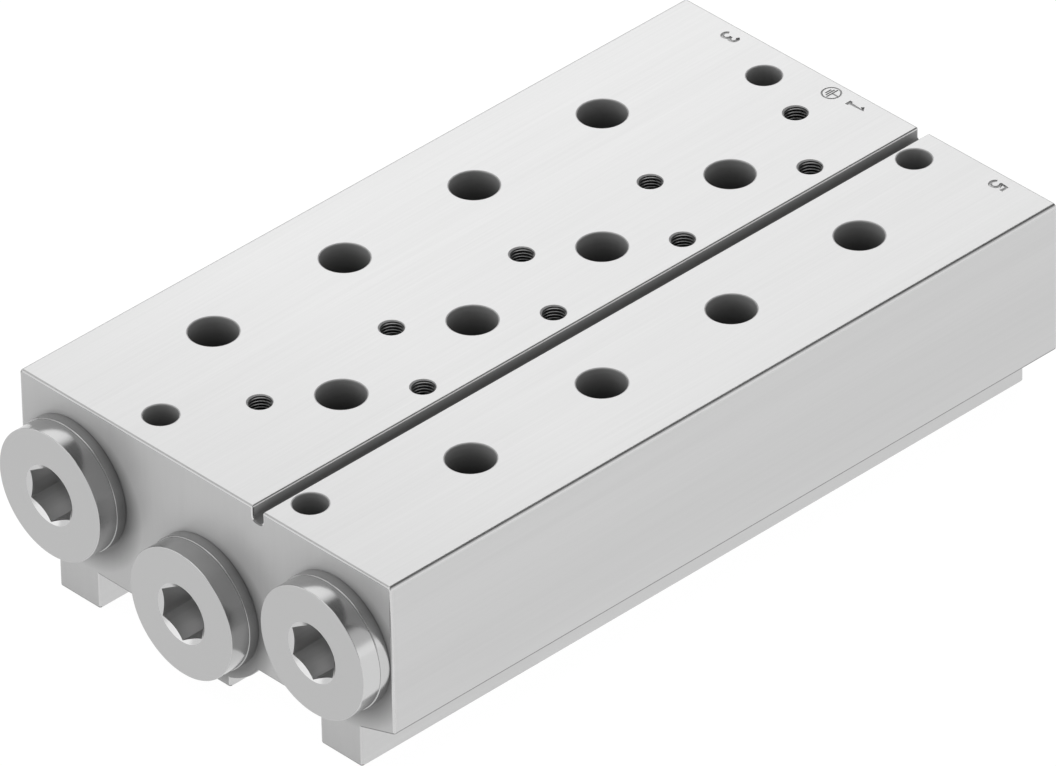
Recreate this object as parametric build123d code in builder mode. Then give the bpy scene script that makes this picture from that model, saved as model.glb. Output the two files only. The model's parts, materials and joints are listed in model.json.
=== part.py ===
from build123d import *
import math
import os

# Connection block of a valve battery: an extruded aluminium bar with three
# galleries along it, four valve stations on top, and a screw plug with its
# sealing ring in the near end of each gallery.
# Millimetres. X runs along the bar, Y across it and Z up. The origin is the
# middle of the plane that the three feet stand on.

# Bar section
bar_length = 164.5
bar_width = 94.7
bar_height = 42.8
side_height = 31.5          # top face down to the lower edge of a long side
underside_depth = 35.3      # top face down to the underside between the feet
overhang_drop = 2.7         # the underside outside an outer foot falls towards it
foot_width = 10.5
rib_radius = 15.45          # round rib about the middle gallery
top_edge_radius = 0.85
side_edge_radius = 0.5
foot_edge_radius = 0.5
end_bevel = 0.4             # both sawn ends are deburred all round

# Groove along the top
groove_offset = -13.8
groove_width = 2.5
groove_depth = 2.85
groove_bottom_radius = 0.9
groove_edge_bevel = 0.35

# Galleries
gallery_bore = 17.0
outer_gallery_inset = 13.75  # long side in to the axis of gallery 3 or 5
outer_gallery_depth = 17.5  # top face down to the same axis
middle_gallery_depth = 26.2

# Pipe thread in both ends of each gallery
pipe_thread_minor = 18.63
pipe_thread_major = 20.96
pipe_thread_length = 20.0
pipe_mouth_margin = 0.1     # the mouth bevel opens this much wider than the thread

# Valve stations
station_count = 4
station_pitch = 32.0
station_offset = 1.0        # the line of port 1 holes lies this far off the middle
port_hole = 9.1
port_row_inset = 3.4        # rows 3 and 5 lie nearer the middle than their galleries
port_row_stagger = 2.5      # rows 3 and 5 are shifted along the bar, each its own way
valve_screw_x = 11.65
valve_screw_y = 8.55

# Tapped holes for valve screws and the earth screw
screw_thread_minor = 4.2
screw_thread_major = 5.0
screw_mouth_margin = 0.1
screw_hole_depth = 12.0
drill_point_angle = 118.0
earth_screw_inset = 12.25   # from the far end
earth_screw_y = 6.55

# Holes that fasten the bar down
fixing_hole = 6.4
fixing_hole_inset = 7.75    # from either end
fixing_spacing_y = 38.2

# Screw plug
flange_overhang = 2.52      # radial, past the thread's major diameter
flange_thickness = 4.1
flange_edge_bevel = 0.15
shank_length = 14.0         # from the back of the flange
shank_clearance = 0.1       # radial, to the thread's minor diameter
shank_end_bevel = 1.2
neck_diameter = 17.9
neck_length = 3.8
hex_across_flats = 10.0
hex_depth = 7.5
hex_mouth_diameter = 11.95
hex_mouth_angle = 120.0

# Sealing ring
ring_margin = 0.15          # radial, past the plug's flange
ring_thickness = 2.2
ring_bore_clearance = 0.1   # radial, over the thread's major diameter
ring_edge_bevel = 0.3

end_x = bar_length / 2
outer_gallery_offset = bar_width / 2 - outer_gallery_inset
outer_gallery_z = bar_height - outer_gallery_depth
middle_gallery_z = bar_height - middle_gallery_depth
overhang_z = bar_height - side_height
foot_outer_y = outer_gallery_offset + foot_width / 2
foot_inner_y = outer_gallery_offset - foot_width / 2
underside_z = bar_height - underside_depth

ports = {
    "1": (0, middle_gallery_z),
    "3": (outer_gallery_offset, outer_gallery_z),
    "5": (-outer_gallery_offset, outer_gallery_z),
}
gallery_centres = list(ports.values())

port_row_spacing = outer_gallery_offset - port_row_inset
station_x = [(k - (station_count - 1) / 2) * station_pitch for k in range(station_count)]
row_1 = [(x, station_offset, bar_height) for x in station_x]
row_3 = [(x - port_row_stagger, station_offset + port_row_spacing, bar_height) for x in station_x]
row_5 = [(x + port_row_stagger, station_offset - port_row_spacing, bar_height) for x in station_x]
screws_near_3 = [(x - valve_screw_x, station_offset + valve_screw_y, bar_height) for x in station_x]
screws_near_5 = [(x + valve_screw_x, station_offset - valve_screw_y, bar_height) for x in station_x]
earth_screw = (end_x - earth_screw_inset, earth_screw_y, bar_height)
tapped_holes = screws_near_3 + screws_near_5 + [earth_screw]
fixing_holes = [
    (x * (end_x - fixing_hole_inset), y * fixing_spacing_y / 2, bar_height)
    for x in (-1, 1)
    for y in (-1, 1)
]


# Extruded bar
with BuildPart() as manifold_block:
    with BuildSketch(Plane.YZ.offset(-end_x)) as section:
        with BuildLine():
            Polyline(
                (0, underside_z),
                (foot_inner_y, underside_z),
                (foot_inner_y, 0),
                (foot_outer_y, 0),
                (foot_outer_y, overhang_z - overhang_drop),
                (bar_width / 2, overhang_z),
                (bar_width / 2, bar_height),
                (0, bar_height),
            )
            mirror(about=Plane.YZ)
        make_face()
        with Locations((0, middle_gallery_z)):
            Circle(rib_radius)
        with Locations((0, 0)):
            Rectangle(foot_width, middle_gallery_z, align=(Align.CENTER, Align.MIN))
        foot_corners = section.vertices().group_by(Axis.Y)[0]
        fillet(foot_corners, foot_edge_radius)
        side_corners = section.vertices().filter_by_position(Axis.Y, overhang_z - 0.01, overhang_z + 0.01)
        fillet(side_corners, side_edge_radius)
        top_corners = section.vertices().group_by(Axis.Y)[-1]
        fillet(top_corners, top_edge_radius)

    extrude(amount=bar_length)

    # Groove with a rounded bottom and bevelled edges
    with BuildSketch(Plane.YZ.offset(-end_x)):
        with Locations((groove_offset, bar_height)):
            groove = Rectangle(groove_width, groove_depth * 2)
        fillet(groove.vertices().group_by(Axis.Y)[0], groove_bottom_radius)
        with BuildLine():
            Polyline(
                (groove_offset - groove_width / 2 - groove_edge_bevel, bar_height),
                (groove_offset, bar_height - groove_edge_bevel - groove_width / 2),
                (groove_offset + groove_width / 2 + groove_edge_bevel, bar_height),
                close=True,
            )
        make_face()
    extrude(amount=bar_length, mode=Mode.SUBTRACT)

    ends = manifold_block.faces().filter_by(Axis.X).sort_by(Axis.X)
    chamfer(ends[0].edges() + ends[-1].edges(), end_bevel)

    # Galleries, tapped for pipe plugs or fittings at both ends
    with BuildSketch(Plane.YZ.offset(-end_x)):
        with Locations(*gallery_centres):
            Circle(gallery_bore / 2)
    extrude(amount=bar_length, mode=Mode.SUBTRACT)

    pipe_mouth = (pipe_thread_major - pipe_thread_minor) / 2 + pipe_mouth_margin
    for side in (-1, 1):
        with BuildSketch(Plane.YZ.offset(side * end_x)):
            with Locations(*gallery_centres):
                Circle(pipe_thread_minor / 2)
        extrude(amount=-side * pipe_thread_length, mode=Mode.SUBTRACT)
        mouths = manifold_block.edges(Select.LAST).filter_by(GeomType.CIRCLE).sort_by(Axis.X)
        mouths = mouths.filter_by_position(Axis.X, side * end_x - 0.01, side * end_x + 0.01)
        chamfer(mouths, pipe_mouth)

    # Port holes of the valve stations, down to the gallery axes
    with Locations(*row_1):
        Hole(port_hole / 2, depth=middle_gallery_depth)
    with Locations(*row_3, *row_5):
        Hole(port_hole / 2, depth=outer_gallery_depth)

    # Tapped blind holes with a drill point
    screw_mouth = screw_thread_major / 2 + screw_mouth_margin
    drill_point = screw_thread_minor / 2 / math.tan(math.radians(drill_point_angle / 2))
    with Locations(*tapped_holes):
        CounterSinkHole(screw_thread_minor / 2, screw_mouth, depth=screw_hole_depth, counter_sink_angle=90)
    with Locations(*[(x, y, z - screw_hole_depth) for x, y, z in tapped_holes]):
        Cone(
            0,
            screw_thread_minor / 2,
            drill_point,
            align=(Align.CENTER, Align.CENTER, Align.MAX),
            mode=Mode.SUBTRACT,
        )

    # Fixing holes, right through between the feet
    with Locations(*fixing_holes):
        Hole(fixing_hole / 2, depth=bar_height)

manifold_block.part.label = "manifold_block"


# Screw plugs and sealing rings, one of each in the near end of each gallery
flange_back = -ring_thickness
flange_front = flange_back - flange_thickness
shank_end = flange_back + shank_length
neck_end = flange_back + neck_length
flange_radius = pipe_thread_major / 2 + flange_overhang
shank_radius = pipe_thread_minor / 2 - shank_clearance
hex_mouth_radius = hex_mouth_diameter / 2
hex_mouth_depth = hex_mouth_radius / math.tan(math.radians(hex_mouth_angle / 2))
hex_drill_radius = hex_across_flats / 2
hex_drill_point = hex_drill_radius / math.tan(math.radians(drill_point_angle / 2))
hex_bottom = flange_front + hex_depth
ring_bore_radius = pipe_thread_major / 2 + ring_bore_clearance
ring_radius = flange_radius + ring_margin

plugs = {}
rings = {}
for port, (port_y, port_z) in ports.items():
    # Half sections are drawn with the radius across and the depth into the bar up
    seat = (-end_x, port_y, port_z)
    half_section = Plane(origin=seat, x_dir=(0, 0, 1), z_dir=(0, 1, 0))
    port_axis = Axis(seat, (1, 0, 0))

    with BuildPart() as plug:
        with BuildSketch(half_section):
            with BuildLine():
                Polyline(
                    (0, flange_front + hex_mouth_depth),
                    (hex_mouth_radius, flange_front),
                    (flange_radius - flange_edge_bevel, flange_front),
                    (flange_radius, flange_front + flange_edge_bevel),
                    (flange_radius, flange_back - flange_edge_bevel),
                    (flange_radius - flange_edge_bevel, flange_back),
                    (neck_diameter / 2, flange_back),
                    (neck_diameter / 2, neck_end),
                    (shank_radius, neck_end + shank_radius - neck_diameter / 2),
                    (shank_radius, shank_end - shank_end_bevel),
                    (shank_radius - shank_end_bevel, shank_end),
                    (0, shank_end),
                    close=True,
                )
            make_face()
        revolve(axis=port_axis)

        # Hexagon socket, a corner up, with the point of its drill
        with BuildSketch(Plane.YZ.offset(flange_front - end_x)):
            with Locations((port_y, port_z)):
                RegularPolygon(hex_across_flats / 2, 6, major_radius=False, rotation=30)
        extrude(amount=hex_depth, mode=Mode.SUBTRACT)
        with BuildSketch(half_section):
            with BuildLine():
                Polyline(
                    (0, hex_bottom),
                    (hex_drill_radius, hex_bottom),
                    (0, hex_bottom + hex_drill_point),
                    close=True,
                )
            make_face()
        revolve(axis=port_axis, mode=Mode.SUBTRACT)

    plug.part.label = f"screw_plug_{port}"
    plugs[port] = plug

    with BuildPart() as ring:
        with BuildSketch(half_section) as ring_section:
            with Locations((ring_bore_radius, flange_back)):
                Rectangle(
                    ring_radius - ring_bore_radius,
                    ring_thickness,
                    align=(Align.MIN, Align.MIN),
                )
            chamfer(ring_section.vertices().group_by(Axis.X)[-1], ring_edge_bevel)
        revolve(axis=port_axis)

    ring.part.label = f"sealing_ring_{port}"
    rings[port] = ring


os.makedirs("parts", exist_ok=True)
export_step(manifold_block.part, "parts/manifold_block.step")
for port in ports:
    export_step(plugs[port].part, f"parts/screw_plug_{port}.step")
    export_step(rings[port].part, f"parts/sealing_ring_{port}.step")
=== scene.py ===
import json
import math

import bmesh
import bpy
from mathutils import Matrix, Vector

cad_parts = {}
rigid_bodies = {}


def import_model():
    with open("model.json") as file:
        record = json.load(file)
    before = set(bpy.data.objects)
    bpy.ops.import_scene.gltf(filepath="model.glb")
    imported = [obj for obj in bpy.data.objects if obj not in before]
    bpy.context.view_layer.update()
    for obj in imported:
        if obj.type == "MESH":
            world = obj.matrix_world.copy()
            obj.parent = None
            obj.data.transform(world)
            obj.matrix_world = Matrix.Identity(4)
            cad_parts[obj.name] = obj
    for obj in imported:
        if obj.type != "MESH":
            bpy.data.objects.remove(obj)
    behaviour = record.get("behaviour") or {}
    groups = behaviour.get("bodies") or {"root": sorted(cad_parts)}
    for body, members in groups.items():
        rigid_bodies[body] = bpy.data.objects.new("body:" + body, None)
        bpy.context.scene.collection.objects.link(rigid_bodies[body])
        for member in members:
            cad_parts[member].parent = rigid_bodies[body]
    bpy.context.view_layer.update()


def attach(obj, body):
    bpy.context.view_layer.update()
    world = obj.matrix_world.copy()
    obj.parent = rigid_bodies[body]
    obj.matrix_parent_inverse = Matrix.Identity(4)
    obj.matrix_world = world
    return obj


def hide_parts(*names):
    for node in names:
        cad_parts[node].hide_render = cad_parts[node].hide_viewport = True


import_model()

mm = 0.001  # sizes below are in millimetres and angles in degrees unless they say otherwise


# Camera, where the photograph was taken from

photoView = {
    "azimuth": -43.351,
    "elevation": 35.062,
    "roll": -1.252,
    "aim": (-0.49, 3.51, 20.2),
    "distance": 2901.1,
    "lens": 555.02,
    "sensor": 36.0,
    "nearest": 0.1,  # what the camera sees lies between these, in metres
    "farthest": 50.0,
}


def addCamera(values):
    azimuth, elevation, roll = (math.radians(values[k]) for k in ("azimuth", "elevation", "roll"))
    back = Vector((
        math.sin(azimuth) * math.cos(elevation),
        -math.cos(azimuth) * math.cos(elevation),
        math.sin(elevation),
    ))
    levelRight = Vector((math.cos(azimuth), math.sin(azimuth), 0))
    levelUp = back.cross(levelRight)
    right = levelRight * math.cos(roll) + levelUp * math.sin(roll)
    up = levelUp * math.cos(roll) - levelRight * math.sin(roll)
    place = (Vector(values["aim"]) + back * values["distance"]) * mm

    data = bpy.data.cameras.new("camera")
    data.sensor_width = values["sensor"]
    data.lens = values["lens"]
    data.clip_start = values["nearest"]
    data.clip_end = values["farthest"]
    camera = bpy.data.objects.new("camera", data)
    bpy.context.scene.collection.objects.link(camera)
    turn = Matrix((right, up, back)).transposed().to_4x4()
    camera.matrix_world = Matrix.Translation(place) @ turn
    bpy.context.scene.camera = camera


addCamera(photoView)
print("camera set")


# Short ways to write node trees

def addNode(tree, kind, **settings):
    node = tree.nodes.new(kind)
    for key, value in settings.items():
        setattr(node, key, value)
    return node


def feed(tree, socket, value):
    if isinstance(value, bpy.types.NodeSocket):
        tree.links.new(value, socket)
    else:
        socket.default_value = value


def calc(tree, operation, a, b=None, c=None):
    node = addNode(tree, "ShaderNodeMath", operation=operation)
    for socket, value in zip(node.inputs, (a, b, c)):
        if value is not None:
            feed(tree, socket, value)
    return node.outputs[0]


def remap(tree, value, fromLow, fromHigh, toLow, toHigh, smooth=False):
    node = addNode(tree, "ShaderNodeMapRange")
    if smooth:
        node.interpolation_type = "SMOOTHSTEP"
    for socket, given in zip(node.inputs, (value, fromLow, fromHigh, toLow, toHigh)):
        feed(tree, socket, given)
    return node.outputs["Result"]


def groupSockets(tree, direction, sockets):
    for name, kind, *value in sockets:
        socket = tree.interface.new_socket(name, in_out=direction, socket_type=f"NodeSocket{kind}")
        if value:
            socket.default_value = value[0]


# Shader groups that the metals share

ports = {"1": (0.0, 16.6), "3": (33.6, 25.3), "5": (-33.6, 25.3)}  # port axes, across and up


def makeStreaks():
    # Fine lines along one axis: brushing, extrusion lines or saw marks
    tree = bpy.data.node_groups.new("streaks", "ShaderNodeTree")
    groupSockets(tree, "INPUT", [
        ("Stretch", "Vector"), ("Fine", "Float", 1.0), ("Broad", "Float", 0.2),
    ])
    groupSockets(tree, "OUTPUT", [("Streak", "Float"), ("Cloud", "Float")])
    given = addNode(tree, "NodeGroupInput")
    result = addNode(tree, "NodeGroupOutput")
    stretched = addNode(tree, "ShaderNodeVectorMath", operation="MULTIPLY")
    feed(tree, stretched.inputs[0], addNode(tree, "ShaderNodeTexCoord").outputs["Object"])
    feed(tree, stretched.inputs[1], given.outputs["Stretch"])
    for name, size, detail in (("Streak", "Fine", 4.0), ("Cloud", "Broad", 2.0)):
        noise = addNode(tree, "ShaderNodeTexNoise")
        feed(tree, noise.inputs["Vector"], stretched.outputs[0])
        feed(tree, noise.inputs["Scale"], given.outputs[size])
        noise.inputs["Detail"].default_value = detail
        noise.inputs["Roughness"].default_value = 0.65
        feed(tree, result.inputs[name], noise.outputs["Fac"])
    return tree


def makeTurningMarks():
    # Rings round the nearest port axis, as a lathe tool leaves them, and the distance from that
    # axis, which the painted shade round the ports also uses
    tree = bpy.data.node_groups.new("turningMarks", "ShaderNodeTree")
    groupSockets(tree, "INPUT", [("Rings", "Float", 4000.0), ("Shift", "Vector")])
    groupSockets(tree, "OUTPUT", [("Ring", "Float"), ("Radius", "Float")])
    given = addNode(tree, "NodeGroupInput")
    result = addNode(tree, "NodeGroupOutput")
    shifted = addNode(tree, "ShaderNodeVectorMath", operation="SUBTRACT")
    feed(tree, shifted.inputs[0], addNode(tree, "ShaderNodeTexCoord").outputs["Object"])
    feed(tree, shifted.inputs[1], given.outputs["Shift"])
    place = shifted.outputs[0]
    radius = None
    for across, high in ports.values():
        local = addNode(tree, "ShaderNodeVectorMath", operation="SUBTRACT")
        feed(tree, local.inputs[0], place)
        local.inputs[1].default_value = (0, across * mm, high * mm)
        flat = addNode(tree, "ShaderNodeVectorMath", operation="MULTIPLY")
        feed(tree, flat.inputs[0], local.outputs[0])
        flat.inputs[1].default_value = (0, 1, 1)
        length = addNode(tree, "ShaderNodeVectorMath", operation="LENGTH")
        feed(tree, length.inputs[0], flat.outputs[0])
        reach = length.outputs["Value"]
        radius = calc(tree, "MINIMUM", radius, reach) if radius else reach
    along = addNode(tree, "ShaderNodeSeparateXYZ")
    feed(tree, along.inputs[0], place)
    line = addNode(tree, "ShaderNodeCombineXYZ")
    feed(tree, line.inputs[0], radius)
    feed(tree, line.inputs[1], along.outputs[0])
    noise = addNode(tree, "ShaderNodeTexNoise")
    feed(tree, noise.inputs["Vector"], line.outputs[0])
    feed(tree, noise.inputs["Scale"], given.outputs["Rings"])
    noise.inputs["Detail"].default_value = 2.0
    feed(tree, result.inputs["Ring"], noise.outputs["Fac"])
    feed(tree, result.inputs["Radius"], radius)
    return tree


streaks = makeStreaks()
turningMarks = makeTurningMarks()


# Metals

edgeGrain = {  # what the metals of all broken edges share
    "roughnessSpread": 0.03,
    "stretch": (60.0, 60.0, 60.0), "fine": 4.0, "broad": 0.6,
    "streakContrast": 0.03, "cloudContrast": 0.02, "bumpDepth": 3e-6, "bumpStrength": 0.2,
}

# A fade is an axis, two places along it and the share of the grey at each. A halo is painted
# shade round each port, where the ring and flange shade the end face: the radius where it's full,
# the radius where it ends, its share of the grey, and how far its centre is shifted across and up.
finishes = {
    "milledTop": {
        "grey": 0.585, "roughness": 0.34, "roughnessSpread": 0.03,
        # Painted reflection: the top a little darker towards the plug end and towards -Y, and
        # lighter towards +Y
        "fades": [("X", -82.0, -30.0, 0.93, 1.0), ("Y", -47.0, 47.0, 0.96, 1.03)],
        "stretch": (14.0, 900.0, 900.0), "fine": 2.2, "broad": 0.18,
        "streakContrast": 0.04, "cloudContrast": 0.015, "bumpDepth": 4e-6, "bumpStrength": 0.3,
    },
    "extrudedSkin": {
        "grey": 0.592, "roughness": 0.4, "roughnessSpread": 0.03,
        "stretch": (10.0, 700.0, 700.0), "fine": 1.6, "broad": 0.2,
        "streakContrast": 0.03, "cloudContrast": 0.02, "bumpDepth": 4e-6, "bumpStrength": 0.3,
    },
    "sawnEnd": {
        "grey": 0.492, "metallic": 0.25, "roughness": 0.34, "roughnessSpread": 0.03,
        "fades": [("Z", 1.0, 12.0, 0.87, 1.0)],
        "stretch": (400.0, 400.0, 40.0), "fine": 2.0, "broad": 0.3,
        "streakContrast": 0.02, "cloudContrast": 0.02, "bumpDepth": 1e-6, "bumpStrength": 0.04,
    },
    # The broken edges are real; this grey, lighter than the faces beside them, is a painted
    # highlight line
    "brokenEdgeHighlight": {**edgeGrain, "grey": 0.62, "roughness": 0.2},
    # A dark grey on the edges that face down: painted shade
    "lowerEdgeShade": {**edgeGrain, "grey": 0.23, "roughness": 0.3},
    "holeRim": {**edgeGrain, "grey": 0.35, "metallic": 0.0, "roughness": 0.5},
    "edgeShade": {**edgeGrain, "grey": 0.37, "roughness": 0.3},
    "drilledWall": {
        "grey": 0.165, "metallic": 0.0, "roughness": 0.5, "roughnessSpread": 0.05,
        # Painted shade and light: the drilled walls darker deeper down and lighter near the mouth
        "fades": [("Z", 36.8, 42.8, 0.6, 2.0)],
        "stretch": (120.0, 120.0, 3000.0), "fine": 1.0, "broad": 0.2,
        "streakContrast": 0.06, "cloudContrast": 0.03, "bumpDepth": 5e-6, "bumpStrength": 0.3,
    },
    "threadWall": {
        "grey": 0.484, "roughness": 0.3, "roughnessSpread": 0.05,
        "stretch": (300.0, 300.0, 300.0), "fine": 2.0, "broad": 0.3,
        "streakContrast": 0.04, "cloudContrast": 0.03, "bumpDepth": 3e-6, "bumpStrength": 0.2,
    },
    "grooveWall": {
        "grey": 0.281, "metallic": 0.0, "roughness": 0.4, "roughnessSpread": 0.04,
        # Painted shade and light: the groove's walls darker towards its floor and lighter near the
        # top
        "fades": [("Z", 40.2, 42.8, 0.55, 1.6)],
        "stretch": (10.0, 900.0, 900.0), "fine": 2.0, "broad": 0.2,
        "streakContrast": 0.06, "cloudContrast": 0.02, "bumpDepth": 4e-6, "bumpStrength": 0.3,
    },
    "engraving": {
        "grey": 0.5, "roughness": 0.45, "roughnessSpread": 0.05,
        "stretch": (900.0, 900.0, 900.0), "fine": 2.0, "broad": 0.3,
        "streakContrast": 0.05, "cloudContrast": 0.03, "bumpDepth": 3e-6, "bumpStrength": 0.2,
    },
    "broachedSocket": {
        "grey": 0.56, "roughness": 0.4, "roughnessSpread": 0.04,
        "stretch": (60.0, 1500.0, 1500.0), "fine": 1.0, "broad": 0.2,
        "streakContrast": 0.05, "cloudContrast": 0.02, "bumpDepth": 4e-6, "bumpStrength": 0.3,
    },
    "countersink": {
        "grey": 0.55, "roughness": 0.22, "roughnessSpread": 0.02,
        "rings": 9000.0, "ringContrast": 0.02, "bumpDepth": 2e-6, "bumpStrength": 0.15,
    },
    "turnedFace": {
        "grey": 0.485, "roughness": 0.38, "roughnessSpread": 0.02,
        "rings": 9000.0, "ringContrast": 0.02, "bumpDepth": 2e-6, "bumpStrength": 0.15,
    },
    "turnedRim": {
        "grey": 0.468, "roughness": 0.17, "roughnessSpread": 0.03,
        # Painted reflection: plug 5's rim lighter on its -Y side, as if mirroring the bright floor
        "fades": [("Y", -45.5, -41.0, 1.25, 1.0)],
        "rings": 6000.0, "ringContrast": 0.03, "bumpDepth": 2e-6, "bumpStrength": 0.2,
    },
    "ringMetal": {
        "grey": 0.41, "roughness": 0.19, "roughnessSpread": 0.03,
        # Painted reflection: plug 5's ring lighter on its -Y side, as if mirroring the bright floor
        "fades": [("Y", -45.5, -42.0, 1.33, 1.0)],
        "rings": 6000.0, "ringContrast": 0.03, "bumpDepth": 2e-6, "bumpStrength": 0.2,
    },
}

finishes["plugEnd"] = {**finishes["sawnEnd"], "shadeHalo": (11.9, 16.0, 0.36, -1.2, -1.5)}
finishes["fineEngraving"] = {**finishes["engraving"], "grey": 0.33}
finishes["tappedWall"] = {
    **finishes["threadWall"],
    # Painted shade: the tapped walls darker just below the mouth, dimming the crest's reflection
    # there, and darker deeper down
    "fades": [("Z", 41.3, 42.5, 1.0, 0.22), ("Z", 39.6, 42.2, 0.14, 1.0)],
}

grainRange = (0.25, 0.75)  # the part of the noise that the contrast is spread over


def makeMetal(name, values):
    material = bpy.data.materials.new(name)
    material.use_nodes = True
    tree = material.node_tree
    shader = tree.nodes["Principled BSDF"]
    shader.inputs["Metallic"].default_value = values.get("metallic", 1.0)

    if "rings" in values:
        pattern = addNode(tree, "ShaderNodeGroup", node_tree=turningMarks)
        pattern.inputs["Rings"].default_value = values["rings"]
        line = pattern.outputs["Ring"]
        shades = [(line, values["ringContrast"])]
    else:
        pattern = addNode(tree, "ShaderNodeGroup", node_tree=streaks)
        for key in ("stretch", "fine", "broad"):
            pattern.inputs[key.capitalize()].default_value = values[key]
        line, cloud = pattern.outputs["Streak"], pattern.outputs["Cloud"]
        shades = [(line, values["streakContrast"]), (cloud, values["cloudContrast"])]

    shade = values["grey"]
    for axis, start, end, first, last in values.get("fades", ()):
        place = addNode(tree, "ShaderNodeSeparateXYZ")
        feed(tree, place.inputs[0], addNode(tree, "ShaderNodeTexCoord").outputs["Object"])
        share = remap(tree, place.outputs[axis], start * mm, end * mm, first, last)
        shade = calc(tree, "MULTIPLY", share, shade)
    # Painted shade round each port, darkest beside the ring, its centre shifted so it falls more on
    # one side
    if "shadeHalo" in values:
        near, far, share, across, up = values["shadeHalo"]
        circles = addNode(tree, "ShaderNodeGroup", node_tree=turningMarks)
        circles.inputs["Shift"].default_value = (0, across * mm, up * mm)
        around = remap(tree, circles.outputs["Radius"], near * mm, far * mm, share, 1.0)
        shade = calc(tree, "MULTIPLY", around, shade)
    for mask, spread in shades:
        contrast = remap(tree, mask, *grainRange, 1 - spread, 1 + spread)
        shade = calc(tree, "MULTIPLY", contrast, shade)
    colour = addNode(tree, "ShaderNodeCombineColor")
    for socket in colour.inputs:
        feed(tree, socket, shade)
    feed(tree, shader.inputs["Base Color"], colour.outputs["Color"])
    middle, spread = values["roughness"], values["roughnessSpread"]
    roughness = remap(tree, line, *grainRange, middle - spread, middle + spread)
    feed(tree, shader.inputs["Roughness"], roughness)
    bump = addNode(tree, "ShaderNodeBump")
    bump.inputs["Distance"].default_value = values["bumpDepth"]
    bump.inputs["Strength"].default_value = values["bumpStrength"]
    feed(tree, bump.inputs["Height"], line)
    feed(tree, shader.inputs["Normal"], bump.outputs["Normal"])
    return material


metals = {name: makeMetal(name, values) for name, values in finishes.items()}
print("metals made:", len(metals))


# Geometry Nodes trees: a turned shape, a drill, a tap and an engraving line

doubleDistance = 1e-6  # points nearer than this become one, in metres


def newTree(name, shape, sizes):
    tree = bpy.data.node_groups.new(name, "GeometryNodeTree")
    groupSockets(tree, "INPUT", [(shape, "Geometry"), *sizes, ("Finish", "Material")])
    groupSockets(tree, "OUTPUT", [("Mesh", "Geometry")])
    return tree, addNode(tree, "NodeGroupInput").outputs


def endTree(tree, given, shape):
    real = addNode(tree, "GeometryNodeRealizeInstances")
    feed(tree, real.inputs["Geometry"], shape)
    painted = addNode(tree, "GeometryNodeSetMaterial")
    feed(tree, painted.inputs["Geometry"], real.outputs[0])
    feed(tree, painted.inputs["Material"], given["Finish"])
    feed(tree, addNode(tree, "NodeGroupOutput").inputs[0], painted.outputs[0])
    return tree


def flatGrid(tree, columns, rows):
    # Columns go round the shape and rows follow its profile, both as shares from 0 to 1
    grid = addNode(tree, "GeometryNodeMeshGrid")
    grid.inputs["Size X"].default_value = 1.0
    grid.inputs["Size Y"].default_value = 1.0
    feed(tree, grid.inputs["Vertices X"], columns)
    feed(tree, grid.inputs["Vertices Y"], rows)
    place = addNode(tree, "ShaderNodeSeparateXYZ")
    feed(tree, place.inputs[0], addNode(tree, "GeometryNodeInputPosition").outputs[0])
    return grid.outputs["Mesh"], *(calc(tree, "ADD", place.outputs[k], 0.5) for k in (0, 1))


def joinDoubles(tree, mesh):
    merged = addNode(tree, "GeometryNodeMergeByDistance")
    feed(tree, merged.inputs["Geometry"], mesh)
    merged.inputs["Distance"].default_value = doubleDistance
    return merged.outputs[0]


def moveTo(tree, mesh, place, selection=None):
    moved = addNode(tree, "GeometryNodeSetPosition")
    feed(tree, moved.inputs["Geometry"], mesh)
    feed(tree, moved.inputs["Position"], place)
    if selection:
        feed(tree, moved.inputs["Selection"], selection)
    return moved.outputs[0]


def rollUp(tree, mesh, turns, radius, height):
    # Rolls the grid up round the Z axis
    angle = calc(tree, "MULTIPLY", turns, 2 * math.pi)
    place = addNode(tree, "ShaderNodeCombineXYZ")
    feed(tree, place.inputs["X"], calc(tree, "MULTIPLY", calc(tree, "COSINE", angle), radius))
    feed(tree, place.inputs["Y"], calc(tree, "MULTIPLY", calc(tree, "SINE", angle), radius))
    feed(tree, place.inputs["Z"], height)
    return joinDoubles(tree, moveTo(tree, mesh, place.outputs[0]))


def pickByRow(tree, row, values):
    pick = addNode(tree, "GeometryNodeIndexSwitch", data_type="FLOAT")
    for extra in values[2:]:
        pick.index_switch_items.new()
    feed(tree, pick.inputs[0], calc(tree, "ROUND", calc(tree, "MULTIPLY", row, len(values) - 1)))
    for socket, value in zip(pick.inputs[1:], values):
        feed(tree, socket, value)
    return pick.outputs[0]


def repeatAtPoints(tree, given, cutter):
    spread = addNode(tree, "GeometryNodeInstanceOnPoints")
    feed(tree, spread.inputs["Points"], given["Mouths"])
    feed(tree, spread.inputs["Instance"], cutter)
    feed(tree, spread.inputs["Rotation"], given["Turn"])
    return endTree(tree, given, spread.outputs[0])


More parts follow.
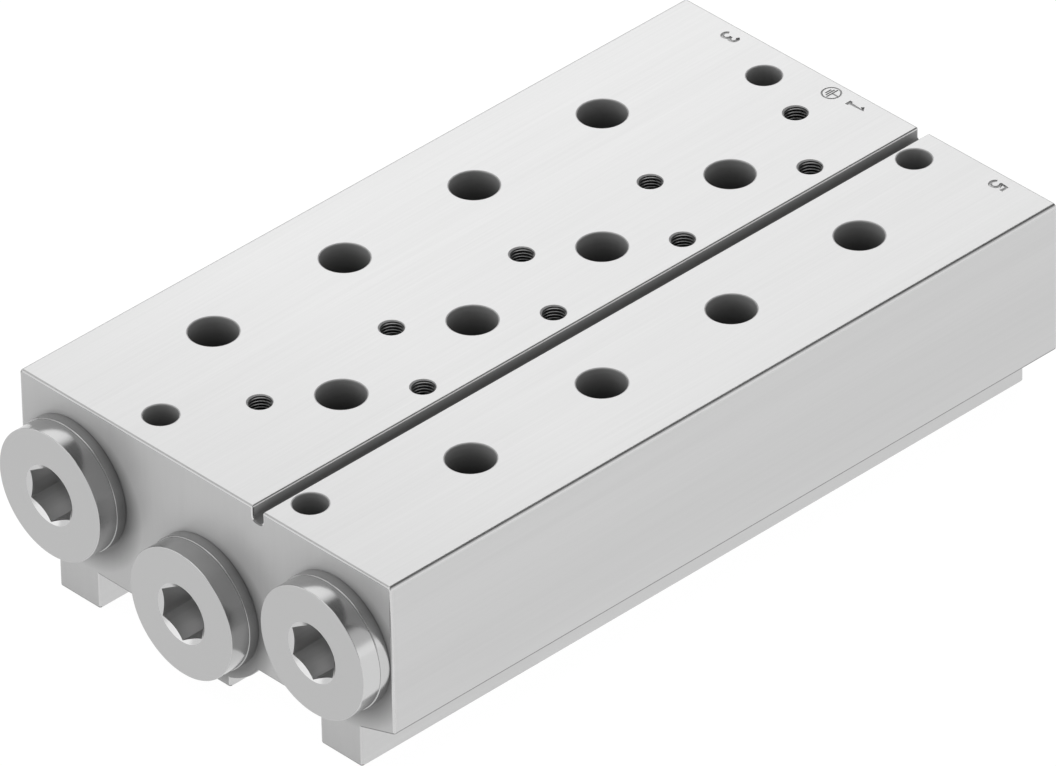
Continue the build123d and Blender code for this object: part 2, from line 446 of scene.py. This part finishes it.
def makeTurnedTree():
    # Each point of the profile is a depth along X and a radius in Y
    tree, given = newTree("turned", "Profile", [
        ("Across", "Float"), ("High", "Float"), ("Sides", "Int"),
    ])
    count = addNode(tree, "GeometryNodeAttributeDomainSize")
    feed(tree, count.inputs["Geometry"], given["Profile"])
    rows = count.outputs["Point Count"]
    mesh, column, row = flatGrid(tree, calc(tree, "ADD", given["Sides"], 1), rows)
    sample = addNode(tree, "GeometryNodeSampleIndex", data_type="FLOAT_VECTOR")
    feed(tree, sample.inputs["Geometry"], given["Profile"])
    feed(tree, sample.inputs["Value"], addNode(tree, "GeometryNodeInputPosition").outputs[0])
    step = calc(tree, "MULTIPLY", row, calc(tree, "SUBTRACT", rows, 1))
    feed(tree, sample.inputs["Index"], calc(tree, "ROUND", step))
    profile = addNode(tree, "ShaderNodeSeparateXYZ")
    feed(tree, profile.inputs[0], sample.outputs[0])
    angle = calc(tree, "MULTIPLY", column, 2 * math.pi)
    place = addNode(tree, "ShaderNodeCombineXYZ")
    feed(tree, place.inputs["X"], profile.outputs["X"])
    for axis, wave, middle in (("Y", "COSINE", "Across"), ("Z", "SINE", "High")):
        share = calc(tree, wave, angle)
        reach = calc(tree, "MULTIPLY_ADD", share, profile.outputs["Y"], given[middle])
        feed(tree, place.inputs[axis], reach)
    return endTree(tree, given, joinDoubles(tree, moveTo(tree, mesh, place.outputs[0])))


def makeDrillTree():
    # A drill with a point, which also breaks the hole's edge with an arc or a straight bevel
    tree, given = newTree("drill", "Mouths", [
        ("Radius", "Float"), ("Depth", "Float"), ("Point", "Float"), ("Bevel", "Float"),
        ("Rounded", "Int"), ("Proud", "Float"), ("Sides", "Int"), ("Turn", "Rotation"),
    ])
    profileRows = 8
    mesh, column, row = flatGrid(tree, calc(tree, "ADD", given["Sides"], 1), profileRows)
    radius, proud, point, bevel = (given[name] for name in ("Radius", "Proud", "Point", "Bevel"))
    lip = calc(tree, "ADD", radius, bevel)
    wide = calc(tree, "ADD", lip, proud)
    # The middle of the broken edge, halfway down a straight bevel and higher on an arc
    pulled = calc(tree, "MULTIPLY_ADD", given["Rounded"], math.sqrt(0.5) - 0.5, -0.5)
    middleHeight = calc(tree, "MULTIPLY", bevel, pulled)
    middleRadius = calc(tree, "SUBTRACT", radius, middleHeight)
    floor = calc(tree, "MULTIPLY", given["Depth"], -1)
    neck = calc(tree, "MULTIPLY", bevel, -1)
    half = calc(tree, "MULTIPLY", radius, 0.5)
    halfDown = calc(tree, "MULTIPLY_ADD", point, -0.5, floor)
    radii = pickByRow(tree, row, [0.0, wide, lip, middleRadius, radius, radius, half, 0.0])
    bottom = calc(tree, "SUBTRACT", floor, point)
    heights = pickByRow(tree, row, [proud, proud, 0.0, middleHeight, neck, floor, halfDown, bottom])
    return repeatAtPoints(tree, given, rollUp(tree, mesh, column, radii, heights))


def makeTapTree():
    # A tap: one pitch of thread profile wound down a helix, with both ends closed
    tree, given = newTree("tap", "Mouths", [
        ("Core", "Float"), ("Thread", "Float"), ("Pitch", "Float"), ("Turns", "Int"),
        ("ProudTurns", "Int"), ("Sides", "Int"), ("Turn", "Rotation"),
    ])
    profileRows = 6
    columns = calc(tree, "MULTIPLY_ADD", given["Sides"], given["Turns"], 1)
    mesh, column, row = flatGrid(tree, columns, profileRows)
    turns = calc(tree, "MULTIPLY", column, given["Turns"])
    # Shares of the pitch at which the flat root, the flanks and the crest begin and end
    share = pickByRow(tree, row, [0.0, 0.125, 0.4375, 0.5625, 0.875, 1.0])
    crest = pickByRow(tree, row, [0.0, 0.0, 1.0, 1.0, 0.0, 0.0])
    radius = calc(tree, "MULTIPLY_ADD", crest, given["Thread"], given["Core"])
    down = calc(tree, "SUBTRACT", given["ProudTurns"], calc(tree, "ADD", turns, share))
    coil = rollUp(tree, mesh, turns, radius, calc(tree, "MULTIPLY", down, given["Pitch"]))

    rim = addNode(tree, "FunctionNodeCompare", data_type="INT", operation="EQUAL")
    feed(tree, rim.inputs[2], addNode(tree, "GeometryNodeInputMeshEdgeNeighbors").outputs[0])
    rim.inputs[3].default_value = 1  # an edge of an open end has one face
    grown = addNode(tree, "GeometryNodeExtrudeMesh", mode="EDGES")
    feed(tree, grown.inputs["Mesh"], coil)
    feed(tree, grown.inputs["Selection"], rim.outputs[0])
    grown.inputs["Offset Scale"].default_value = 0.0
    place = addNode(tree, "ShaderNodeSeparateXYZ")
    feed(tree, place.inputs[0], addNode(tree, "GeometryNodeInputPosition").outputs[0])
    top = calc(tree, "MULTIPLY", given["ProudTurns"], given["Pitch"])
    length = calc(tree, "MULTIPLY", given["Turns"], given["Pitch"])
    halfway = calc(tree, "MULTIPLY_ADD", length, -0.5, top)
    upper = calc(tree, "GREATER_THAN", place.outputs["Z"], halfway)
    end = calc(tree, "MULTIPLY_ADD", upper, length, calc(tree, "SUBTRACT", top, length))
    centre = addNode(tree, "ShaderNodeCombineXYZ")
    feed(tree, centre.inputs["Z"], calc(tree, "MULTIPLY_ADD", given["Pitch"], -0.5, end))
    closed = moveTo(tree, grown.outputs["Mesh"], centre.outputs[0], grown.outputs["Top"])
    return repeatAtPoints(tree, given, joinDoubles(tree, closed))


def makeEngraverTree():
    # A round-nosed cutter that follows a line
    tree, given = newTree("engraver", "Line", [("Width", "Float"), ("Sides", "Int")])
    line = addNode(tree, "GeometryNodeMeshToCurve")
    feed(tree, line.inputs["Mesh"], given["Line"])
    nose = addNode(tree, "GeometryNodeCurvePrimitiveCircle")
    feed(tree, nose.inputs["Resolution"], given["Sides"])
    feed(tree, nose.inputs["Radius"], calc(tree, "MULTIPLY", given["Width"], 0.5))
    swept = addNode(tree, "GeometryNodeCurveToMesh")
    feed(tree, swept.inputs["Curve"], line.outputs[0])
    feed(tree, swept.inputs["Profile Curve"], nose.outputs["Curve"])
    swept.inputs["Fill Caps"].default_value = True
    return endTree(tree, given, swept.outputs[0])


turned, drill = makeTurnedTree(), makeDrillTree()
tap, engraver = makeTapTree(), makeEngraverTree()
print("trees built")


# Making and joining meshes

def newMesh(name, points, edges=(), faces=()):
    mesh = bpy.data.meshes.new(name)
    mesh.from_pydata([Vector(p) * mm for p in points], edges, faces)
    thing = bpy.data.objects.new(name, mesh)
    bpy.context.scene.collection.objects.link(thing)
    return thing


def settle(thing):
    # The evaluated mesh takes the place of the modifiers
    bpy.context.view_layer.update()
    graph = bpy.context.evaluated_depsgraph_get()
    mesh = bpy.data.meshes.new_from_object(thing.evaluated_get(graph), depsgraph=graph)
    thing.modifiers.clear()
    thing.data = mesh
    mesh.name = thing.name
    return thing


def turnOutwards(thing):
    shape = bmesh.new()
    shape.from_mesh(thing.data)
    bmesh.ops.recalc_face_normals(shape, faces=shape.faces)
    shape.to_mesh(thing.data)
    shape.free()
    return thing


def grow(tree, thing, finish, **sizes):
    # Of the sizes, a decimal is a length, a whole number is a count and a triple is a turn
    inputs = [item for item in tree.interface.items_tree if item.in_out == "INPUT"]
    sockets = {item.name: item.identifier for item in inputs}
    modifier = thing.modifiers.new(tree.name, "NODES")
    modifier.node_group = tree
    modifier[sockets["Finish"]] = metals[finish]
    for name, value in sizes.items():
        modifier[sockets[name]] = value * mm if isinstance(value, float) else value
    return turnOutwards(settle(thing))


def cut(thing, *cutters):
    for cutter in cutters:
        modifier = thing.modifiers.new("cut", "BOOLEAN")
        modifier.operation = "DIFFERENCE"
        modifier.solver = "MANIFOLD"
        modifier.material_mode = "TRANSFER"
        modifier.object = cutter
        settle(thing)
        bpy.data.objects.remove(cutter)


def shadeSmooth(thing, sharpAngle=30):
    # Rounds shade smoothly, and flat faces beside them stay flat
    mesh = thing.data
    mesh.polygons.foreach_set("use_smooth", [True] * len(mesh.polygons))
    mesh.set_sharp_from_angle(angle=math.radians(sharpAngle))
    weighted = thing.modifiers.new("flat faces", "WEIGHTED_NORMAL")
    weighted.keep_sharp = True
    weighted.weight = 100
    settle(thing)


def paint(thing, finish, chosen):
    # Gives the faces that the test picks their own metal
    mesh = thing.data
    if metals[finish].name not in mesh.materials:
        mesh.materials.append(metals[finish])
    index = mesh.materials.find(metals[finish].name)
    for face in mesh.polygons:
        if chosen(face):
            face.material_index = index


def roundedLine(corners, steps):
    # Corners are (across, up, radius), and each radius becomes a short arc
    line = []
    neighbours = zip(corners[-1:] + corners[:-1], corners, corners[1:] + corners[:1])
    for before, corner, after in neighbours:
        point, radius = Vector(corner[:2]), corner[2]
        if not radius:
            line.append(point)
            continue
        toBefore = (Vector(before[:2]) - point).normalized()
        toAfter = (Vector(after[:2]) - point).normalized()
        half = toBefore.angle(toAfter) / 2
        centre = point + (toBefore + toAfter).normalized() * radius / math.sin(half)
        start = point + toBefore * radius / math.tan(half) - centre
        end = point + toAfter * radius / math.tan(half) - centre
        sweep = math.pi - 2 * half
        for k in range(steps + 1):
            ahead = k / steps * sweep
            reach = start * math.sin(sweep - ahead) + end * math.sin(ahead)
            line.append(centre + reach / math.sin(sweep))
    return line


def shrunkLine(line, inset):
    # The same closed line, moved inwards by mitring its corners
    result = []
    for before, point, after in zip(line[-1:] + line[:-1], line, line[1:] + line[:1]):
        first, second = (point - before).normalized(), (after - point).normalized()
        inwards = Vector((-first.y, first.x)), Vector((-second.y, second.x))
        middle = (inwards[0] + inwards[1]).normalized()
        result.append(point + middle * inset / middle.dot(inwards[0]))
    return result


# Manifold bar

bar = {
    "length": 164.5,
    "width": 94.7,
    "height": 42.8,
    "sideFoot": 11.3,  # lower edge of a long side
    "overhang": 8.6,  # where the underside meets an outer foot
    "underside": 7.5,
    "footWidth": 10.5,
    "ribRadius": 15.45,
    "topEdge": 0.85,
    "sideEdge": 0.5,
    "footEdge": 0.5,
    "endEdge": 0.4,
    "grooveAcross": -13.8,
    "grooveWidth": 2.5,
    "grooveDepth": 2.85,
    "grooveRound": 0.9,
    "grooveEdge": 0.46,
    "arcSteps": 6,
    "ribSteps": 14,
    "paintSlack": 0.01,  # how near to a plane a face counts as lying in it
    "topBand": 0.91,  # how far down the rounded edges of the top and the groove reach
    "highlightFrom": 8.0,  # the bevels at the ends carry the painted highlight from this height up
    "shadedBand": 1.0,  # width of the dark line on a long side's top edge
}

holes = {
    "stations": (-48.0, -16.0, 16.0, 48.0),
    "stationAcross": 1.0,
    "rowSpacing": 30.2,
    "rowStagger": 2.5,
    "portHole": 9.1,
    "portRim": 0.28,
    "screwAlong": 11.65,
    "screwAcross": 8.55,
    "screwHole": 4.1,
    "screwDepth": 12.0,
    "screwPoint": 1.25,
    "screwCore": 4.2,
    "screwThread": 0.34,
    "screwPitch": 0.65,
    "screwTurns": 12,
    "screwMouth": 4.9,
    "screwBevel": 0.6,
    "screwMouthDepth": 0.7,
    "screwSides": 40,
    "earthScrew": (70.0, 6.55),
    "fixing": 6.4,
    "fixingAlong": 74.5,
    "fixingAcross": 19.1,
    "gallery": 17.0,
    "pipeCore": 18.63,
    "pipeThread": 1.165,
    "pipePitch": 1.814,
    "pipeTurns": 12,
    "pipeDepth": 20.0,
    "pipeMouth": 21.16,
    "pipeMouthDepth": 1.4,
    "pipeMouthMargin": 0.1,  # the mouth's drill is this much narrower, and its bevel wider
    "pipeSides": 64,
    "proudTurns": 1,  # turns of a tap above the hole
    "proud": 0.5,  # how far a drill stands out of the hole
    "through": 1.0,  # how far a through drill comes out behind
    "sides": 72,
}

marks = {
    "along": 79.0,  # centres of the engraved marks
    "across": {"3": 32.3, "earth": 6.4, "1": 0.3, "5": -35.7},
    "digitSize": 0.85,
    "digitLine": 0.75,
    "signSize": 1.0,
    "signLine": 0.34,
    "depthShare": 0.45,  # of the line's width
    "noseSides": 12,  # of the round-nosed cutter
}


def arcPoints(centre, radius, start, end, steps):
    turn = [math.radians(start + (end - start) * k / steps) for k in range(steps + 1)]
    return [(centre[0] + radius * math.cos(a), centre[1] + radius * math.sin(a)) for a in turn]


def barOutline(values):
    middle = values["footWidth"] / 2
    across, up = ports["3"]
    ribAcross, ribUp = ports["1"]
    rib = values["ribRadius"]
    ribLow = math.degrees(math.asin(middle / rib)) - 90
    ribHigh = -math.degrees(math.asin((ribUp - values["underside"]) / rib))
    ribLine = arcPoints((ribAcross, ribUp), rib, ribLow, ribHigh, values["ribSteps"])
    half = [(middle, 0, values["footEdge"])]
    half += [(y, z, 0) for y, z in ribLine]
    half += [
        (across - middle, values["underside"], 0),
        (across - middle, 0, values["footEdge"]),
        (across + middle, 0, values["footEdge"]),
        (across + middle, values["overhang"], 0),
        (values["width"] / 2, values["sideFoot"], values["sideEdge"]),
        (values["width"] / 2, values["height"], values["topEdge"]),
    ]
    top, wall = values["height"], values["grooveWidth"] / 2
    bottom = top - values["grooveDepth"]
    side = [(wall, top, values["grooveEdge"]), (wall, bottom, values["grooveRound"])]
    groove = [(values["grooveAcross"] + y, z, r) for y, z, r in side]
    groove += [(values["grooveAcross"] - y, z, r) for y, z, r in reversed(side)]
    return half + groove + [(-y, z, r) for y, z, r in reversed(half)]


def makeBarBody(values):
    line = roundedLine(barOutline(values), values["arcSteps"])
    end, edge = values["length"] / 2, values["endEdge"]
    middle = edge * (1 - math.sqrt(0.5))
    small, less = shrunkLine(line, edge), shrunkLine(line, middle)
    sections = [(end, small), (end - middle, less), (end - edge, line)]
    sections = [(-x, ring) for x, ring in sections] + sections[::-1]
    count, last = len(line), len(sections) - 1
    points = [(x, p.x, p.y) for x, ring in sections for p in ring]
    faces = [
        (a + k, a + (k + 1) % count, a + count + (k + 1) % count, a + count + k)
        for a in range(0, last * count, count)
        for k in range(count)
    ]
    faces += [tuple(range(count)), tuple(range(last * count, (last + 1) * count))]
    return turnOutwards(newMesh("manifoldBar", points, faces=faces))


def paintBar(body, values):
    slack = values["paintSlack"]
    high = (values["height"] - slack) * mm
    far = (values["length"] / 2 - slack) * mm
    band = (values["length"] / 2 - values["endEdge"]) * mm
    topBand = (values["height"] - values["topBand"]) * mm
    side = (values["width"] / 2 - values["sideEdge"]) * mm
    sideBand = (values["sideFoot"] + values["sideEdge"]) * mm
    shaded = side - values["shadedBand"] * mm
    grooveMiddle = values["grooveAcross"] * mm
    grooveReach = (values["grooveWidth"] / 2 + slack) * mm
    grooveLow = (values["height"] - values["grooveDepth"] - values["endEdge"] - slack) * mm

    def atEnd(face):
        return band < abs(face.center.x) < far

    def atTop(face):
        return face.center.z > topBand and 0.02 < abs(face.normal.z) < 0.98

    def atSide(face):
        return abs(face.center.y) > side and face.center.z < sideBand

    def inGroove(face):
        inside = abs(face.center.y - grooveMiddle) < grooveReach and abs(face.center.x) < far
        return inside and grooveLow < face.center.z < high

    # Painted highlight: the top's rounded edges and the end bevels above a given height
    def highlightedEdge(face):
        return atEnd(face) and face.center.z > values["highlightFrom"] * mm or atTop(face)

    # Painted shade: the end and side edges that face down
    def shadedLowerEdge(face):
        return (atEnd(face) or atSide(face)) and -0.98 < face.normal.z < -0.1

    def darkLine(face):
        return atTop(face) and face.normal.y > 0.05 and face.center.y > shaded

    paint(body, "extrudedSkin", lambda face: True)
    paint(body, "milledTop", lambda face: face.normal.z > 0.99 and face.center.z > high)
    paint(body, "sawnEnd", lambda face: face.center.x > far)
    paint(body, "plugEnd", lambda face: face.center.x < -far)
    paint(body, "brokenEdgeHighlight", highlightedEdge)
    paint(body, "lowerEdgeShade", shadedLowerEdge)
    paint(body, "edgeShade", lambda face: atEnd(face) and face.normal.z > 0.8)
    paint(body, "edgeShade", darkLine)
    paint(body, "grooveWall", inGroove)


def glyphLines():
    # Each mark's lines, to its right and up from its middle, and whether each is closed
    sign = [
        (arcPoints((0, 0), 1.78, 0, 360, 40), True),
        ([(0, 1.78), (0, 0.2)], False),
        ([(-1.45, 0.2), (1.45, 0.2)], False),
        ([(-1.1, -0.3), (1.1, -0.3)], False),
        ([(-0.73, -0.8), (0.73, -0.8)], False),
    ]
    three = [
        (arcPoints((0, 0.98), 0.92, 160, -75, 16), False),
        (arcPoints((0, -0.98), 1.04, 105, -160, 18), False),
    ]
    five = [(1.0, 1.85), (-0.75, 1.85), (-0.95, 0.1)]
    five += arcPoints((-0.05, -0.75), 1.15, 130, -155, 18)
    one = [
        ([(-0.85, 1.35), (0, 2.2), (0, -1.9)], False),
        ([(-0.8, -1.9), (0.8, -1.9)], False),
    ]
    return {"3": three, "earth": sign, "1": one, "5": [(five, False)]}


def engrave(body, values, top):
    # The marks are read from the far end, so their tops point to the 5 side
    for name, lines in glyphLines().items():
        kind = "sign" if name == "earth" else "digit"
        width, size = values[kind + "Line"], values[kind + "Size"]
        finish = "fineEngraving" if name == "earth" else "engraving"
        along, across = values["along"], values["across"][name]
        high = top + width * (0.5 - values["depthShare"])
        for line, closed in lines:
            if closed:
                line = line[:-1]
            points = [(along - size * u, across - size * v, high) for u, v in line]
            edges = [(k, k + 1) for k in range(len(points) - 1)]
            if closed:
                edges.append((len(points) - 1, 0))
            mark = newMesh("mark", points, edges)
            cut(body, grow(engraver, mark, finish, Width=width, Sides=values["noseSides"]))


def drillHoles(
    name, places, finish, diameter, depth,
    point=0.0, bevel=0.0, rounded=0, turn=0.0, sides=holes["sides"],
):
    tool = grow(
        drill, newMesh(name, places), finish,
        Radius=diameter / 2, Depth=depth, Point=point, Bevel=bevel, Rounded=rounded,
        Proud=holes["proud"], Sides=sides, Turn=(0.0, math.radians(turn), 0.0),
    )
    if rounded:
        paint(tool, "holeRim", lambda face: 0.05 < abs(face.normal.z) < 0.95)
    return tool


def tapHoles(name, places, finish, size, turn=0.0):
    # The size, screw or pipe, picks the thread's values
    return grow(
        tap, newMesh(name, places), finish,
        Core=holes[size + "Core"] / 2, Thread=holes[size + "Thread"], Pitch=holes[size + "Pitch"],
        Turns=holes[size + "Turns"], ProudTurns=holes["proudTurns"], Sides=holes[size + "Sides"],
        Turn=(0.0, math.radians(turn), 0.0),
    )


def makeBar(values):
    body = makeBarBody(values)
    paintBar(body, values)
    print("bar body:", len(body.data.polygons), "faces")
    top, end = values["height"], values["length"] / 2
    engrave(body, marks, top)
    print("marks engraved")

    middleLine = holes["stationAcross"]
    spacing, stagger = holes["rowSpacing"], holes["rowStagger"]
    row1 = [(x, middleLine, top) for x in holes["stations"]]
    rows35 = [
        (x - side * stagger, middleLine + side * spacing, top)
        for side in (-1, 1)
        for x in holes["stations"]
    ]
    screws = [
        (x - side * holes["screwAlong"], middleLine + side * holes["screwAcross"], top)
        for side in (-1, 1)
        for x in holes["stations"]
    ]
    screws.append((*holes["earthScrew"], top))
    fixings = [
        (x * holes["fixingAlong"], y * holes["fixingAcross"], top) for x in (-1, 1) for y in (-1, 1)
    ]
    nearPorts = [(-end, y, z) for y, z in ports.values()]
    farPorts = [(end, y, z) for y, z in ports.values()]
    wall, rim = "drilledWall", {"bevel": holes["portRim"], "rounded": 1}
    mouth, margin = (holes["pipeMouth"] - holes["pipeCore"]) / 2, holes["pipeMouthMargin"]
    screwBevel, through = holes["screwBevel"], holes["through"]

    cut(
        body,
        drillHoles("galleries", nearPorts, wall, holes["gallery"], 2 * end + through, turn=-90),
        drillHoles(
            "nearPorts", nearPorts, wall, holes["pipeCore"], holes["pipeDepth"],
            bevel=mouth, turn=-90,
        ),
        drillHoles("row1", row1, wall, holes["portHole"], top - ports["1"][1], **rim),
        drillHoles("rows35", rows35, wall, holes["portHole"], top - ports["3"][1], **rim),
        drillHoles("fixings", fixings, wall, holes["fixing"], top + through, **rim),
        drillHoles(
            "screwHoles", screws, "tappedWall", holes["screwHole"], holes["screwDepth"],
            holes["screwPoint"], sides=holes["screwSides"],
        ),
    )
    print("holes drilled")

    cut(
        body,
        tapHoles("screwTaps", screws, "tappedWall", "screw"),
        tapHoles("pipeTaps", farPorts, "threadWall", "pipe", turn=90),
        drillHoles(
            "screwMouths", screws, "holeRim", 2 * (holes["screwMouth"] / 2 - screwBevel),
            holes["screwMouthDepth"], bevel=screwBevel,
        ),
        drillHoles(
            "pipeMouths", farPorts, "threadWall", holes["pipeCore"] - 2 * margin,
            holes["pipeMouthDepth"], bevel=mouth + margin, turn=90,
        ),
    )
    print("threads cut")
    shadeSmooth(body)
    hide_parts("manifold_block")
    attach(body, "root")


makeBar(bar)
print("bar made")


# Screw plugs

plugs = {
    "flangeRadius": 13.0,
    "flangeBack": -84.45,
    "flangeThickness": 4.1,
    "flangeRound": 0.15,
    "faceBand": 0.05,  # how far back the turned face reaches over the rounded edge
    "shankEnd": -70.45,
    "shankRadius": 9.215,
    "shankBevel": 1.2,
    "neckRadius": 8.95,
    "neckEnd": -80.65,
    "socketFlats": 10.0,
    "socketDepth": 7.5,
    "socketDrill": 9.94,
    "socketPoint": 2.9,
    "broachProud": 1.0,  # how far the broach stands out of the socket
    "mouthRadius": 5.975,
    "mouthDepth": 3.45,
    "sides": 144,
    "roundSteps": 5,
}


def makePlug(name, values):
    across, high = ports[name]
    back, front = values["flangeBack"], values["flangeBack"] - values["flangeThickness"]
    rim, soft = values["flangeRadius"], values["flangeRound"]
    shank, neck, bevel = values["shankRadius"], values["neckRadius"], values["shankBevel"]
    corners = [
        (front + values["mouthDepth"], 0, 0),
        (front, values["mouthRadius"], 0),
        (front, rim, soft),
        (back, rim, soft / 2),
        (back, neck, 0),
        (values["neckEnd"], neck, 0),
        (values["neckEnd"] + shank - neck, shank, 0),
        (values["shankEnd"] - bevel, shank, 0),
        (values["shankEnd"], shank - bevel, 0),
        (values["shankEnd"], 0, 0),
    ]
    profile = [(p.x, p.y, 0) for p in roundedLine(corners, values["roundSteps"])]
    plug = grow(
        turned, newMesh(f"screwPlug{name}", profile), "turnedFace",
        Across=across, High=high, Sides=values["sides"],
    )
    paint(plug, "turnedRim", lambda face: (front + values["faceBand"]) * mm < face.center.x)
    paint(plug, "countersink", lambda face: -0.9 < face.normal.x < -0.8)

    # Hexagon socket, a corner up, with the point of its drill at the bottom
    corner = values["socketFlats"] / math.sqrt(3)
    angles = [k * math.pi / 3 for k in range(6)]
    hexagon = [(corner * math.sin(a), corner * math.cos(a)) for a in angles]
    ends = front - values["broachProud"], front + values["socketDepth"]
    points = [(x, across + y, high + z) for x in ends for y, z in hexagon]
    faces = [(k, (k + 1) % 6, 6 + (k + 1) % 6, 6 + k) for k in range(6)]
    faces += [tuple(range(6)), tuple(range(6, 12))]
    broach = turnOutwards(newMesh("broach", points, faces=faces))
    broach.data.materials.append(metals["broachedSocket"])
    cut(
        plug,
        broach,
        drillHoles(
            "socketDrill", [(front, across, high)], "broachedSocket", values["socketDrill"],
            values["socketDepth"], values["socketPoint"], turn=-90,
        ),
    )
    shadeSmooth(plug)
    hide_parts(f"screw_plug_{name}")
    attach(plug, "root")


# Sealing rings

rings = {
    "back": -82.25,
    "front": -84.45,
    "radius": 13.15,
    "bore": 10.58,
    "edgeRound": 0.16,
    "sides": 144,
    "roundSteps": 5,
}


def makeRing(name, values):
    across, high = ports[name]
    corners = [
        (values["front"], values["bore"], 0),
        (values["front"], values["radius"], values["edgeRound"]),
        (values["back"], values["radius"], values["edgeRound"]),
        (values["back"], values["bore"], 0),
    ]
    profile = [(p.x, p.y, 0) for p in roundedLine(corners, values["roundSteps"])]
    profile.append(profile[0])
    ring = grow(
        turned, newMesh(f"sealingRing{name}", profile), "ringMetal",
        Across=across, High=high, Sides=values["sides"],
    )
    shadeSmooth(ring)
    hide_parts(f"sealing_ring_{name}")
    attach(ring, "root")


for portName in ports:
    makePlug(portName, plugs)
    makeRing(portName, rings)
print("plugs and rings made")


# Studio: a pale floor and a bright room with one darker side

studio = {
    "floorWidth": 40000.0,
    "floorGrey": 0.66,
    "floorRoughness": 0.9,
    "floorShadow": 0.12,  # how strongly the floor shows the shadow
    "floorWhite": 1.1,  # the floor as the camera sees it
    "floorLight": 1.083,  # the floor as the metal reflects it
    "roomLight": 0.244,
    # azimuth and elevation, each as middle, half width and soft edge, then the light there
    "panels": {
        "ceiling": ((0.0, 180.0, 1.0), (90.0, 22.0, 9.0), 1.8),
        "backWall": ((46.0, 30.0, 12.0), (30.0, 20.0, 8.0), 1.474),
        "leftWall": ((138.0, 20.0, 15.0), (28.0, 18.0, 12.0), 1.282),
        "leftStrip": ((158.0, 34.0, 16.0), (2.0, 12.0, 8.0), 1.538),
        "rightWall": ((-50.0, 30.0, 15.0), (18.0, 12.0, 14.0), 0.705),
        "rightStrip": ((-55.0, 25.0, 15.0), (2.0, 8.0, 6.0), 1.15),
        "frontWall": ((-125.0, 35.0, 20.0), (6.0, 26.0, 16.0), 0.385),
        "darkSide": ((-28.0, 38.0, 14.0), (51.0, 9.0, 7.0), 0.128),
    },
}


def addFloor(values):
    half = values["floorWidth"] / 2
    corners = [(-half, -half, 0), (half, -half, 0), (half, half, 0), (-half, half, 0)]
    floor = newMesh("floor", corners, faces=[(0, 1, 2, 3)])
    material = bpy.data.materials.new("paleFloor")
    material.use_nodes = True
    tree = material.node_tree
    shader = tree.nodes["Principled BSDF"]
    grey = values["floorGrey"]
    shader.inputs["Base Color"].default_value = (grey, grey, grey, 1)
    shader.inputs["Roughness"].default_value = values["floorRoughness"]
    glow = addNode(tree, "ShaderNodeEmission")
    seen = addNode(tree, "ShaderNodeLightPath").outputs["Is Camera Ray"]
    light = remap(tree, seen, 0.0, 1.0, values["floorLight"], values["floorWhite"])
    feed(tree, glow.inputs["Strength"], light)
    mix = addNode(tree, "ShaderNodeMixShader")
    mix.inputs[0].default_value = values["floorShadow"]
    feed(tree, mix.inputs[1], glow.outputs[0])
    feed(tree, mix.inputs[2], shader.outputs[0])
    feed(tree, tree.nodes["Material Output"].inputs["Surface"], mix.outputs[0])
    floor.data.materials.append(material)


def addRoom(values):
    world = bpy.data.worlds.new("room")
    world.use_nodes = True
    tree = world.node_tree
    way = addNode(tree, "ShaderNodeSeparateXYZ")
    feed(tree, way.inputs[0], addNode(tree, "ShaderNodeTexCoord").outputs["Generated"])
    azimuth = calc(tree, "ARCTAN2", way.outputs["Y"], way.outputs["X"])
    elevation = calc(tree, "ARCSINE", way.outputs["Z"])
    strength = values["roomLight"]
    for *spans, light in values["panels"].values():
        share = 1.0
        for angle, (middle, half, soft) in zip((azimuth, elevation), spans):
            off = calc(tree, "SUBTRACT", angle, math.radians(middle))
            off = calc(tree, "ABSOLUTE", calc(tree, "WRAP", off, math.pi, -math.pi))
            edge, outside = math.radians(half), math.radians(half) + math.radians(soft)
            fade = remap(tree, off, edge, outside, 1.0, 0.0, smooth=True)
            share = calc(tree, "MULTIPLY", fade, share)
        strength = remap(tree, share, 0.0, 1.0, strength, light)
    feed(tree, tree.nodes["Background"].inputs["Strength"], strength)
    tree.nodes["Background"].inputs["Color"].default_value = (1, 1, 1, 1)
    bpy.context.scene.world = world


addFloor(studio)
addRoom(studio)
bpy.context.scene.view_settings.view_transform = "Standard"
print("studio lit")
